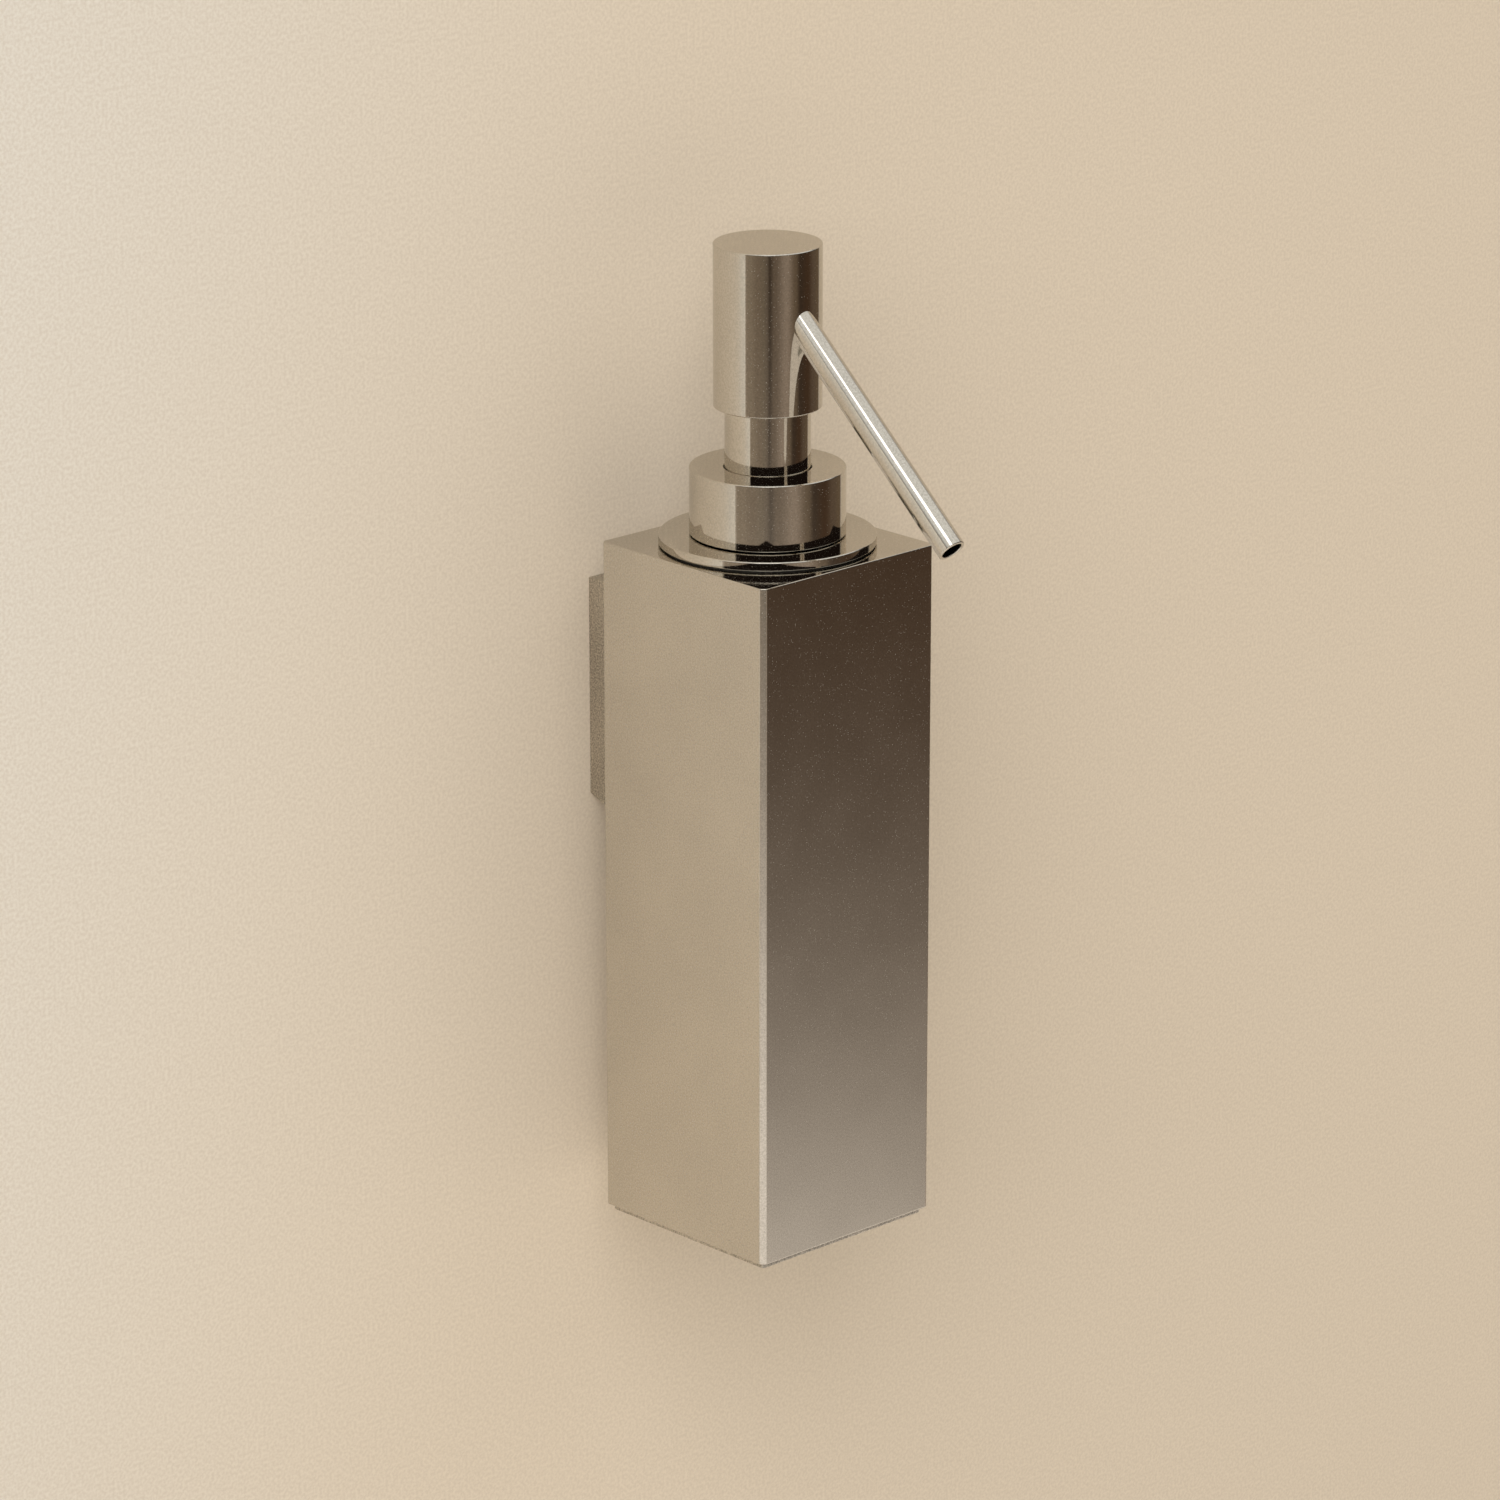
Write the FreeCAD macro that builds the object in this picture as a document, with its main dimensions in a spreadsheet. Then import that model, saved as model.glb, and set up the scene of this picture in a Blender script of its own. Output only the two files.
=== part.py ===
import FreeCAD, Part

import math
import os
import re

import Sketcher

# Wall mounted soap dispenser: a square casing on a wall block, the bottle that hangs in it and its pump.
# Millimetres. The origin is the centre of the wall plate's back face, the wall is the plane y = 0,
# the front looks along -Y and +Z is up.

SIZES = (
    # square casing and its base
    ("casing_width", 50, "outer width and depth"),
    ("casing_height", 150, "height without the base's step"),
    ("casing_top_z", 38, "top face above the mount's centre"),
    ("casing_wall", 1.2, "side walls"),
    ("casing_roof", 1.5, "top wall"),
    ("casing_edge", 1.3, "bevel of the four upright edges"),
    ("mouth_radius", 21.3, "round mouth in the top wall"),
    ("base_thickness", 5.4, "base plate"),
    ("base_drop", 1.4, "how far the base plate stands out below the casing"),
    ("base_gap", 0.1, "base plate to side walls"),
    ("base_corner", 0.5, "bevel of the base plate's corners"),
    # wall block, hooked over the wall plate
    ("block_width", 30, "along the wall"),
    ("block_height", 50, "up the wall"),
    ("block_depth", 15, "wall to casing"),
    ("block_side", 2.5, "side walls"),
    ("block_end", 4.5, "top and bottom walls"),
    ("block_front", 3, "wall next to the casing"),
    ("block_bevel_depth", 4, "bevel of the lower edge at the wall, out from the wall"),
    ("block_bevel_height", 1.5, "the same bevel, up the wall"),
    ("plate_width", 24.4, "wall plate along the wall"),
    ("plate_height", 39, "wall plate's front face"),
    ("plate_thickness", 4, "wall plate"),
    ("hook_rise", 2, "how far the plate's ends slope in towards the wall"),
    ("hook_gap", 0.25, "play between hook and plate"),
    ("wall_hole_radius", 2.25, "holes for the wall screws"),
    ("wall_hole_spacing", 28, "between the two wall screws"),
    ("countersink", 2.2, "countersink of the wall screws"),
    ("backing_width", 28, "backing plate along the wall"),
    ("backing_height", 40, "backing plate up the wall"),
    ("backing_thickness", 2, "backing plate"),
    # fasteners
    ("screw_radius", 1.95, "block screws"),
    ("screw_hole_radius", 2.05, "their holes"),
    ("screw_spacing", 28, "between the two block screws"),
    ("screw_head_radius", 3.5, "their heads"),
    ("screw_head_height", 2.4, "their heads"),
    ("socket_radius", 1.4, "their hexagon sockets, to the corners"),
    ("socket_depth", 1.5, "their hexagon sockets"),
    ("grub_radius", 1.5, "locking screw"),
    ("grub_hole_radius", 1.55, "its hole"),
    ("grub_length", 5, "with its cone"),
    ("grub_cone", 1.1, "length of its cone"),
    ("grub_tip_radius", 0.4, "flat end of its cone"),
    ("grub_socket_radius", 0.9, "its hexagon socket, to the corners"),
    ("grub_depth", 2.5, "its axis out from the wall"),
    ("grub_gap", 0.35, "cone to plate"),
    # bottle and flange
    ("bottle_radius", 21, "outside"),
    ("bottle_wall", 1.5, "wall"),
    ("bottle_height", 143.3, "foot to shoulder"),
    ("bottle_foot_round", 2.5, "rounding of the foot"),
    ("bottle_shoulder_round", 4, "rounding of the shoulder"),
    ("neck_radius", 12.5, "bottle neck below its thread"),
    ("neck_bore", 10.8, "bottle neck inside"),
    ("neck_height", 12.7, "shoulder to lip"),
    ("thread_radius", 13.7, "crest of the neck's thread"),
    ("thread_first", 3.2, "first turn above the shoulder"),
    ("thread_pitch", 4, "between the turns"),
    ("thread_flank", 0.8, "height of a thread's flank"),
    ("thread_crest", 0.8, "width of a thread's crest"),
    ("gasket_thickness", 0.3, "ring under the flange"),
    ("gasket_radius", 22.5, "its outside"),
    ("gasket_bore", 21.5, "its inside"),
    ("flange_radius", 23.1, "flange outside"),
    ("flange_bore", 14, "flange inside"),
    ("flange_thickness", 2, "flange"),
    ("edge_break", 0.2, "bevel of the turned parts' edges"),
    # collar
    ("collar_gap", 0.2, "flange to collar"),
    ("collar_radius", 16.6, "outside"),
    ("collar_height", 14.4, "height"),
    ("collar_roof", 1.6, "top wall"),
    ("collar_cavity", 15.35, "inside"),
    ("collar_hole", 9.25, "hole for the neck sleeve"),
    ("liner_radius", 15.3, "liner outside"),
    ("liner_bore", 13.85, "liner inside, at its thread's crest"),
    ("liner_recess", 0.3, "liner above the collar's lower edge"),
    ("liner_height", 12.4, "liner"),
    # pump housing, with heights from the end of its spigot
    ("neck_gasket_radius", 13.4, "seal on the bottle's lip"),
    ("neck_gasket_bore", 10.9, "its inside"),
    ("neck_gasket_thickness", 1, "seal"),
    ("rim_radius", 12.6, "rim"),
    ("rim_thickness", 1.2, "rim"),
    ("barrel_radius", 7.6, "barrel outside"),
    ("piston_bore", 6, "barrel inside"),
    ("plug_bore", 6.9, "wider mouth for the stem guide"),
    ("plug_depth", 8.2, "depth of that mouth"),
    ("housing_height", 57.2, "spigot's end to rim's top"),
    ("spigot_radius", 4.2, "spigot"),
    ("spigot_bore", 3.03, "socket for the dip tube"),
    ("spigot_height", 8, "spigot"),
    ("cone_height", 5, "cone between spigot and barrel"),
    ("seat_radius", 1.8, "hole under the inlet ball"),
    ("seat_height", 3, "floor between socket and ball chamber"),
    ("chamber_radius", 2.9, "ball chamber"),
    ("chamber_height", 5.5, "ball chamber"),
    ("inlet_ball_radius", 2.5, "inlet ball"),
    ("seat_gap", 0.05, "ball to seat"),
    ("retainer_radius", 5.9, "washer over the ball chamber"),
    ("retainer_bore", 1.6, "its hole"),
    ("retainer_thickness", 1, "washer"),
    ("dip_radius", 3, "dip tube outside"),
    ("dip_bore", 2.2, "dip tube inside"),
    ("dip_length", 104.8, "dip tube"),
    ("dip_insert", 7.8, "its length in the spigot"),
    # stem guide and neck sleeve
    ("guide_plug_radius", 6.85, "plug in the barrel's mouth"),
    ("guide_plug_height", 8, "plug"),
    ("guide_bearing", 6, "length of the stem's bearing"),
    ("guide_bore", 3.57, "stem's bearing"),
    ("guide_flange_radius", 9, "flange on the rim"),
    ("guide_flange_thickness", 0.8, "flange on the rim"),
    ("guide_tube_radius", 7.9, "tube in the neck sleeve"),
    ("guide_tube_bore", 6.4, "its inside"),
    ("guide_tube_height", 15.6, "tube above the flange"),
    ("sleeve_radius", 9.1, "neck sleeve outside"),
    ("sleeve_bore", 8, "neck sleeve inside"),
    ("sleeve_height", 16, "neck sleeve"),
    # plunger: stem, plug, piston, spring
    ("stem_radius", 3.5, "stem"),
    ("stem_bore", 1.7, "its bore"),
    ("stem_length", 51, "stem"),
    ("stem_drop", 16.2, "stem's foot below the rim's top"),
    ("shoulder_radius", 4.4, "stem's shoulder above the piston"),
    ("shoulder_start", 6.5, "its lower side above the stem's foot"),
    ("shoulder_height", 1.5, "shoulder"),
    ("valve_start", 44, "outlet seat above the stem's foot"),
    ("valve_height", 4.4, "outlet chamber"),
    ("valve_radius", 2.3, "outlet chamber"),
    ("outlet_ball_radius", 2, "outlet ball"),
    ("piston_radius", 5.95, "piston's lips"),
    ("piston_waist", 5.3, "between the lips"),
    ("piston_inside", 3.52, "on the stem"),
    ("piston_height", 6.2, "piston"),
    ("piston_start", 0.2, "above the stem's foot"),
    ("lip_height", 1.2, "each lip"),
    ("lip_slope", 0.6, "slope between lip and waist"),
    ("plug_bottom_radius", 3.3, "stem plug's stub in the spring"),
    ("plug_bottom_height", 2.5, "its stub"),
    ("plug_flange_radius", 5.3, "spring's upper seat"),
    ("plug_flange_height", 1.5, "spring's upper seat"),
    ("plug_spigot_radius", 1.68, "spigot up the stem"),
    ("plug_spigot_height", 4, "spigot up the stem"),
    ("plug_hole", 1, "its bore"),
    ("coil_radius", 4.6, "spring, to the wire's middle"),
    ("wire_radius", 0.45, "spring wire"),
    ("coil_turns", 8, "turns"),
    # press head and spout
    ("head_radius", 11.5, "outside"),
    ("head_height", 35, "height"),
    ("head_cavity", 10, "inside"),
    ("head_cap", 2, "top wall"),
    ("head_overlap", 2, "how far the neck sleeve reaches into it"),
    ("core_radius", 9.95, "insert in the head"),
    ("core_start", 14.5, "insert above the head's lower edge"),
    ("core_height", 18.4, "insert"),
    ("stem_socket_radius", 3.56, "stem's socket in the insert"),
    ("stem_socket_depth", 5.65, "stem's socket in the insert"),
    ("channel_top", 13, "soap channel above the insert's foot"),
    ("spout_radius", 3, "spout outside"),
    ("spout_bore", 2.25, "spout inside"),
    ("spout_hole_radius", 3.03, "its hole in head and insert"),
    ("spout_reach", 54.8, "pump axis to the middle of the spout's mouth"),
    ("spout_slope", 41.7, "below level, in degrees"),
    ("spout_drop", 6.5, "where its axis meets the pump's, below the head's top"),
    ("spout_start", 3, "along the spout from there to its inner end"),
    ("spout_chamber", 1, "along the spout from there to its hole's end"),
    ("spout_edge", 0.15, "bevel of its mouth"),
)

doc = FreeCAD.newDocument("soap_dispenser")
sheet = doc.addObject("Spreadsheet::Sheet", "dims")
for row, (alias, value, note) in enumerate(SIZES, 1):
    sheet.set(f"A{row}", alias)
    sheet.set(f"B{row}", str(value))
    sheet.setAlias(f"B{row}", alias)
    sheet.set(f"C{row}", note)
doc.recompute()

# Places that several pieces share, as formulas of the sheet's cells.
AXIS_Y = "-(block_depth + casing_width / 2)"
SHOULDER_Z = "casing_top_z + gasket_thickness"
FLANGE_TOP_Z = f"{SHOULDER_Z} + flange_thickness"
COLLAR_Z = f"{FLANGE_TOP_Z} + collar_gap"
LIP_Z = f"{SHOULDER_Z} + neck_height"
RIM_TOP_Z = f"{LIP_Z} + neck_gasket_thickness + rim_thickness"
HOUSING_Z = f"{RIM_TOP_Z} - housing_height"
CHAMBER_Z = f"{HOUSING_Z} + spigot_height + seat_height"
RETAINER_Z = f"{CHAMBER_Z} + chamber_height"
GUIDE_Z = f"{RIM_TOP_Z} - guide_plug_height"
SLEEVE_Z = f"{RIM_TOP_Z} + guide_flange_thickness"
STEM_Z = f"{RIM_TOP_Z} - stem_drop"
PLUG_Z = f"{STEM_Z} - plug_bottom_height - plug_flange_height"
SPRING_Z = f"{RETAINER_Z} + retainer_thickness"
HEAD_Z = f"{SLEEVE_Z} + sleeve_height - head_overlap"
CORE_Z = f"{HEAD_Z} + core_start"
SPOUT_Z = f"{HEAD_Z} + head_height - spout_drop"
GRUB_Z = (
    "-(plate_height / 2 - hook_rise * (1 - grub_depth / plate_thickness))"
    " - grub_gap - grub_length"
)


CLOSE = 0.001  # two sizes this near are the same
LEAST_CUT = 0.01  # volume that every cut takes away


def formula(text):
    """The same formula with every cell's name led by the sheet's."""
    return re.sub(r"\b[a-z]\w*\b(?!\()", r"dims.\g<0>", text)


def bind(thing, prop, text):
    thing.setExpression(prop, formula(text))


def origin_feature(body, role):
    return next(f for f in body.Origin.OriginFeatures if f.Role == role)


def new_body(label, y="0", z="0"):
    """A body whose own origin stands at x = 0 and the given y and z."""
    body = doc.addObject("PartDesign::Body", label)
    body.Label = label
    bind(body, "Placement.Base.y", y)
    bind(body, "Placement.Base.z", z)
    return body


def new_sketch(body, name, plane, lift="0"):
    """An empty sketch on one of the body's own planes, lifted along the plane's normal."""
    sketch = body.newObject("Sketcher::SketchObject", f"{body.Label}_{name}")
    sketch.AttachmentSupport = [(origin_feature(body, plane), "")]
    sketch.MapMode = "FlatFace"
    bind(sketch, "AttachmentOffset.Base.z", lift)
    return sketch


def locate(sketch, geometry, end, across, up):
    """Ties a point of the sketch to its two distances from the sketch's origin."""
    for kind, axis, distance in (("DistanceX", -2, across), ("DistanceY", -1, up)):
        if distance == "0":
            sketch.addConstraint(Sketcher.Constraint("PointOnObject", geometry, end, axis))
        else:
            number = sketch.addConstraint(Sketcher.Constraint(kind, -1, 1, geometry, end, 1))
            bind(sketch, f"Constraints[{number}]", distance)


def add_polygon(sketch, corners):
    """A closed outline through the corners, each given by its two distances as formulas."""
    first = sketch.GeometryCount
    count = len(corners)
    # lines between points of a small circle to start from; the constraints then draw the true outline
    guide = Part.Circle(FreeCAD.Vector(9, 9, 0), FreeCAD.Vector(0, 0, 1), 4)
    points = [guide.value(2 * math.pi * k / count) for k in range(count)]
    for k in range(count):
        sketch.addGeometry(Part.LineSegment(points[k], points[(k + 1) % count]), False)
    for k, (across, up) in enumerate(corners):
        sketch.addConstraint(
            Sketcher.Constraint("Coincident", first + k, 2, first + (k + 1) % count, 1)
        )
        locate(sketch, first + k, 1, across, up)


def add_circle(sketch, across, up, radius):
    middle = FreeCAD.Vector(1, 1, 0)
    circle = sketch.addGeometry(Part.Circle(middle, FreeCAD.Vector(0, 0, 1), 1), False)
    number = sketch.addConstraint(Sketcher.Constraint("Radius", circle, 1))
    bind(sketch, f"Constraints[{number}]", radius)
    locate(sketch, circle, 3, across, up)


def rectangle(half_width, half_height):
    """Corners of a rectangle about the sketch's origin."""
    return [
        (f"-({half_width})", f"-({half_height})"),
        (half_width, f"-({half_height})"),
        (half_width, half_height),
        (f"-({half_width})", half_height),
    ]


def hexagon(radius):
    """Corners every 60 degrees, none of them on an axis of the sketch."""
    angles = range(15, 360, 60)
    return [(f"{radius} * cos({angle})", f"{radius} * sin({angle})") for angle in angles]


def pad(body, sketch, length, both_ways=False, backwards=False):
    feature = body.newObject("PartDesign::Pad", f"{sketch.Name}_pad")
    feature.Profile = sketch
    feature.SideType = "Symmetric" if both_ways else "One side"
    feature.Reversed = backwards
    bind(feature, "Length", length)
    return feature


def pocket(body, sketch, length, both_ways=False, backwards=False):
    feature = body.newObject("PartDesign::Pocket", f"{sketch.Name}_pocket")
    feature.Profile = sketch
    feature.SideType = "Symmetric" if both_ways else "One side"
    feature.Reversed = backwards
    bind(feature, "Length", length)
    return feature


def dress(body, kind, base, edges, amount):
    """A fillet or chamfer on the edges of the feature before it."""
    feature = body.newObject(f"PartDesign::{kind}", f"{body.Label}_{kind.lower()}_{amount}")
    feature.Base = (base, edges)
    bind(feature, "Radius" if kind == "Fillet" else "Size", amount)
    return feature


def edges_where(feature, wanted):
    doc.recompute()
    return [f"Edge{n}" for n, edge in enumerate(feature.Shape.Edges, 1) if wanted(edge)]


def circles_at(feature, radius, height):
    """The feature's round edges of one radius at one height."""
    return edges_where(
        feature,
        lambda edge: isinstance(edge.Curve, Part.Circle)
        and abs(edge.Curve.Radius - radius) < CLOSE
        and abs(edge.Curve.Center.z - height) < CLOSE,
    )


def upright_edges(feature):
    """The feature's edges along Z."""
    return edges_where(
        feature, lambda edge: isinstance(edge.Curve, Part.Line) and abs(edge.Curve.Direction.z) > 1 - CLOSE
    )


def turned(label, z, outline, y=AXIS_Y):
    """A turned piece: its outline in radius and height, revolved about the body's own Z axis."""
    body = new_body(label, y, z)
    sketch = new_sketch(body, "outline", "XZ_Plane")
    add_polygon(sketch, outline)
    turning = body.newObject("PartDesign::Revolution", f"{label}_turning")
    turning.Profile = sketch
    turning.ReferenceAxis = (sketch, ["V_Axis"])
    turning.Angle = 360
    return body


def ring(label, z, inner, outer, height):
    return turned(label, z, [(inner, "0"), (outer, "0"), (outer, height), (inner, height)])


def ball(label, z, radius):
    sphere = doc.addObject("Part::Sphere", label)
    sphere.Label = label
    bind(sphere, "Radius", radius)
    bind(sphere, "Placement.Base.y", AXIS_Y)
    bind(sphere, "Placement.Base.z", z)
    return sphere


def aim_along_spout(thing):
    """Turns the thing's own Z axis to point forwards and down along the spout."""
    thing.Placement.Rotation = FreeCAD.Rotation(FreeCAD.Vector(1, 0, 0), 90)
    bind(thing, "Placement.Rotation.Angle", "90 + spout_slope")


def spout_hole(body, axis_height, start):
    """Cuts the spout's hole, from start along the spout, where its axis crosses the body's at axis_height."""
    hole = body.newObject("PartDesign::SubtractiveCylinder", f"{body.Label}_spout_hole")
    bind(hole, "Radius", "spout_hole_radius")
    bind(hole, "Height", "spout_reach")
    aim_along_spout(hole)
    bind(hole, "Placement.Base.y", f"-({start}) * cos(spout_slope)")
    bind(hole, "Placement.Base.z", f"{axis_height} - ({start}) * sin(spout_slope)")
    return hole


# Wall block, with its plate and fasteners


def make_wall_plate():
    """Slopes in towards the wall at its top and bottom, so that the block's hook can't come off forwards."""
    body = new_body("wall_plate")
    side = new_sketch(body, "side", "YZ_Plane")
    front = "plate_height / 2"
    back = "plate_height / 2 - hook_rise"
    add_polygon(
        side,
        [
            ("0", f"-({back})"),
            ("-plate_thickness", f"-({front})"),
            ("-plate_thickness", front),
            ("0", back),
        ],
    )
    pad(body, side, "plate_width", both_ways=True)
    holes = new_sketch(body, "holes", "XZ_Plane")
    for sign in ("", "-"):
        add_circle(holes, "0", f"{sign}wall_hole_spacing / 2", "wall_hole_radius")
    cut = pocket(body, holes, "3 * plate_thickness", both_ways=True)
    mouths = edges_where(
        cut,
        lambda edge: isinstance(edge.Curve, Part.Circle)
        and abs(edge.Curve.Center.y + sheet.plate_thickness) < CLOSE,
    )
    dress(body, "Chamfer", cut, mouths, "countersink")
    return body


def make_mount_block():
    """Open towards the wall, with a lip at the top of its cavity that hooks behind the plate's slope."""
    body = new_body("mount_block")
    side = new_sketch(body, "side", "YZ_Plane")
    half = "block_height / 2"
    add_polygon(
        side,
        [
            ("0", f"-({half} - block_bevel_height)"),
            ("-block_bevel_depth", f"-({half})"),
            ("-block_depth", f"-({half})"),
            ("-block_depth", half),
            ("0", half),
        ],
    )
    pad(body, side, "block_width", both_ways=True)
    cavity = new_sketch(body, "cavity", "YZ_Plane")
    ceiling = "block_height / 2 - block_end"
    bottom = "-(block_depth - block_front)"
    lip = "-(plate_thickness + hook_gap)"
    add_polygon(
        cavity,
        [
            ("0", f"-({ceiling})"),
            (bottom, f"-({ceiling})"),
            (bottom, ceiling),
            (lip, ceiling),
            (lip, "plate_height / 2 + hook_gap"),
            ("0", "plate_height / 2 + hook_gap - hook_rise"),
        ],
    )
    pocket(body, cavity, "block_width - 2 * block_side", both_ways=True)
    screw_holes = new_sketch(body, "screw_holes", "XZ_Plane")
    for sign in ("", "-"):
        add_circle(screw_holes, "0", f"{sign}screw_spacing / 2", "screw_hole_radius")
    pocket(body, screw_holes, "2 * block_depth", backwards=True)
    grub_hole = new_sketch(body, "grub_hole", "XY_Plane")
    add_circle(grub_hole, "0", "-grub_depth", "grub_hole_radius")
    pocket(body, grub_hole, "block_height")
    return body


def make_backing_plate():
    """Lies inside the casing's back wall and takes the block screws."""
    body = new_body("backing_plate", "-(block_depth + casing_wall)")
    face = new_sketch(body, "face", "XZ_Plane")
    add_polygon(face, rectangle("backing_width / 2", "backing_height / 2"))
    for sign in ("", "-"):
        add_circle(face, "0", f"{sign}screw_spacing / 2", "screw_hole_radius")
    pad(body, face, "backing_thickness")
    return body


def make_block_screws():
    """Two screws with their heads in the block's cavity; their own Z axis points at the wall."""
    body = new_body("block_screws", "-(block_depth - block_front)", "screw_spacing / 2")
    body.Placement.Rotation = FreeCAD.Rotation(FreeCAD.Vector(1, 0, 0), -90)
    length = "block_front + casing_wall + backing_thickness"
    outline = new_sketch(body, "outline", "XZ_Plane")
    rounded = "screw_head_radius - screw_head_height / 2"
    add_polygon(
        outline,
        [
            ("0", f"-({length})"),
            ("screw_radius", f"-({length})"),
            ("screw_radius", "0"),
            ("screw_head_radius", "0"),
            ("screw_head_radius", "screw_head_height / 2"),
            (rounded, "screw_head_height"),
            ("0", "screw_head_height"),
        ],
    )
    turning = body.newObject("PartDesign::Revolution", "block_screws_turning")
    turning.Profile = outline
    turning.ReferenceAxis = (outline, ["V_Axis"])
    turning.Angle = 360
    socket = new_sketch(body, "socket", "XY_Plane", "screw_head_height")
    add_polygon(socket, hexagon("socket_radius"))
    drive = pocket(body, socket, "socket_depth")
    pair = body.newObject("PartDesign::LinearPattern", "block_screws_pair")
    pair.Originals = [turning, drive]
    pair.Direction = (origin_feature(body, "Y_Axis"), [""])
    pair.Occurrences = 2
    bind(pair, "Length", "screw_spacing")
    body.Tip = pair
    return body


def make_locking_screw():
    """Comes up through the block's underside, its cone against the plate's lower slope."""
    body = turned(
        "locking_screw",
        GRUB_Z,
        [
            ("0", "0"),
            ("grub_radius", "0"),
            ("grub_radius", "grub_length - grub_cone"),
            ("grub_tip_radius", "grub_length"),
            ("0", "grub_length"),
        ],
        y="-grub_depth",
    )
    socket = new_sketch(body, "socket", "XY_Plane")
    add_polygon(socket, hexagon("grub_socket_radius"))
    pocket(body, socket, "socket_depth", backwards=True)
    return body


# Casing


def make_body_shell():
    body = new_body("body_shell", AXIS_Y, "casing_top_z - casing_height")
    outside = new_sketch(body, "outside", "XY_Plane")
    add_polygon(outside, rectangle("casing_width / 2", "casing_width / 2"))
    block = pad(body, outside, "casing_height")
    dress(body, "Chamfer", block, upright_edges(block), "casing_edge")
    inside = new_sketch(body, "inside", "XY_Plane")
    half = "casing_width / 2 - casing_wall"
    add_polygon(inside, rectangle(half, half))
    pocket(body, inside, "casing_height - casing_roof", backwards=True)
    mouth = new_sketch(body, "mouth", "XY_Plane")
    add_circle(mouth, "0", "0", "mouth_radius")
    pocket(body, mouth, "2 * casing_height", backwards=True)
    screw_holes = new_sketch(body, "screw_holes", "XZ_Plane")
    for sign in ("+", "-"):
        height = f"casing_height - casing_top_z {sign} screw_spacing / 2"
        add_circle(screw_holes, "0", height, "screw_hole_radius")
    pocket(body, screw_holes, "casing_width")
    return body


def make_base_plate():
    body = new_body("base_plate", AXIS_Y, "casing_top_z - casing_height - base_drop")
    outline = new_sketch(body, "outline", "XY_Plane")
    half = "casing_width / 2 - casing_wall - base_gap"
    add_polygon(outline, rectangle(half, half))
    plate = pad(body, outline, "base_thickness")
    dress(body, "Chamfer", plate, upright_edges(plate), "base_corner")
    return body


# Bottle and flange


def make_bottle():
    """Its thread is drawn as two plain turns."""
    outline = [
        ("0", "0"),
        ("bottle_radius", "0"),
        ("bottle_radius", "bottle_height"),
        ("neck_radius", "bottle_height"),
    ]
    for turn in range(2):
        start = f"bottle_height + thread_first + {turn} * thread_pitch"
        outline += [
            ("neck_radius", start),
            ("thread_radius", f"{start} + thread_flank"),
            ("thread_radius", f"{start} + thread_flank + thread_crest"),
            ("neck_radius", f"{start} + 2 * thread_flank + thread_crest"),
        ]
    inner = "bottle_radius - bottle_wall"
    outline += [
        ("neck_radius", "bottle_height + neck_height"),
        ("neck_bore", "bottle_height + neck_height"),
        ("neck_bore", "bottle_height - bottle_wall"),
        (inner, "bottle_height - bottle_wall"),
        (inner, "bottle_wall"),
        ("0", "bottle_wall"),
    ]
    body = turned("bottle", f"{SHOULDER_Z} - bottle_height", outline)
    inner_radius = sheet.bottle_radius - sheet.bottle_wall
    ceiling = sheet.bottle_height - sheet.bottle_wall
    for radius, height, amount in (
        (sheet.bottle_radius, 0, "bottle_foot_round"),
        (sheet.bottle_radius, sheet.bottle_height, "bottle_shoulder_round"),
        (inner_radius, sheet.bottle_wall, "bottle_foot_round - bottle_wall"),
        (inner_radius, ceiling, "bottle_shoulder_round - bottle_wall"),
    ):
        doc.recompute()
        dress(body, "Fillet", body.Tip, circles_at(body.Tip, radius, height), amount)
    return body


def make_flange_ring():
    edge = "edge_break"
    return turned(
        "flange_ring",
        SHOULDER_Z,
        [
            ("flange_bore", "0"),
            (f"flange_radius - {edge}", "0"),
            ("flange_radius", edge),
            ("flange_radius", f"flange_thickness - {edge}"),
            (f"flange_radius - {edge}", "flange_thickness"),
            ("flange_bore", "flange_thickness"),
        ],
    )


# Collar


def make_collar():
    edge = "edge_break"
    return turned(
        "collar",
        COLLAR_Z,
        [
            ("collar_cavity", "0"),
            (f"collar_radius - {edge}", "0"),
            ("collar_radius", edge),
            ("collar_radius", f"collar_height - {edge}"),
            (f"collar_radius - {edge}", "collar_height"),
            (f"collar_hole + {edge}", "collar_height"),
            ("collar_hole", f"collar_height - {edge}"),
            ("collar_hole", "collar_height - collar_roof"),
            ("collar_cavity", "collar_height - collar_roof"),
        ],
    )


# Pump housing and what stays with it


def make_pump_housing():
    """Its steps inside, from below: dip tube socket, seat, ball chamber, piston bore, mouth for the guide."""
    barrel_start = "spigot_height + cone_height"
    rim_start = "housing_height - rim_thickness"
    chamber_start = "spigot_height + seat_height"
    bore_start = f"{chamber_start} + chamber_height"
    return turned(
        "pump_housing",
        HOUSING_Z,
        [
            ("spigot_bore", "0"),
            ("spigot_radius", "0"),
            ("spigot_radius", "spigot_height"),
            ("barrel_radius", barrel_start),
            ("barrel_radius", rim_start),
            ("rim_radius", rim_start),
            ("rim_radius", "housing_height"),
            ("plug_bore", "housing_height"),
            ("plug_bore", "housing_height - plug_depth"),
            ("piston_bore", "housing_height - plug_depth"),
            ("piston_bore", bore_start),
            ("chamber_radius", bore_start),
            ("chamber_radius", chamber_start),
            ("seat_radius", chamber_start),
            ("seat_radius", "spigot_height"),
            ("spigot_bore", "spigot_height"),
        ],
    )


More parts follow.
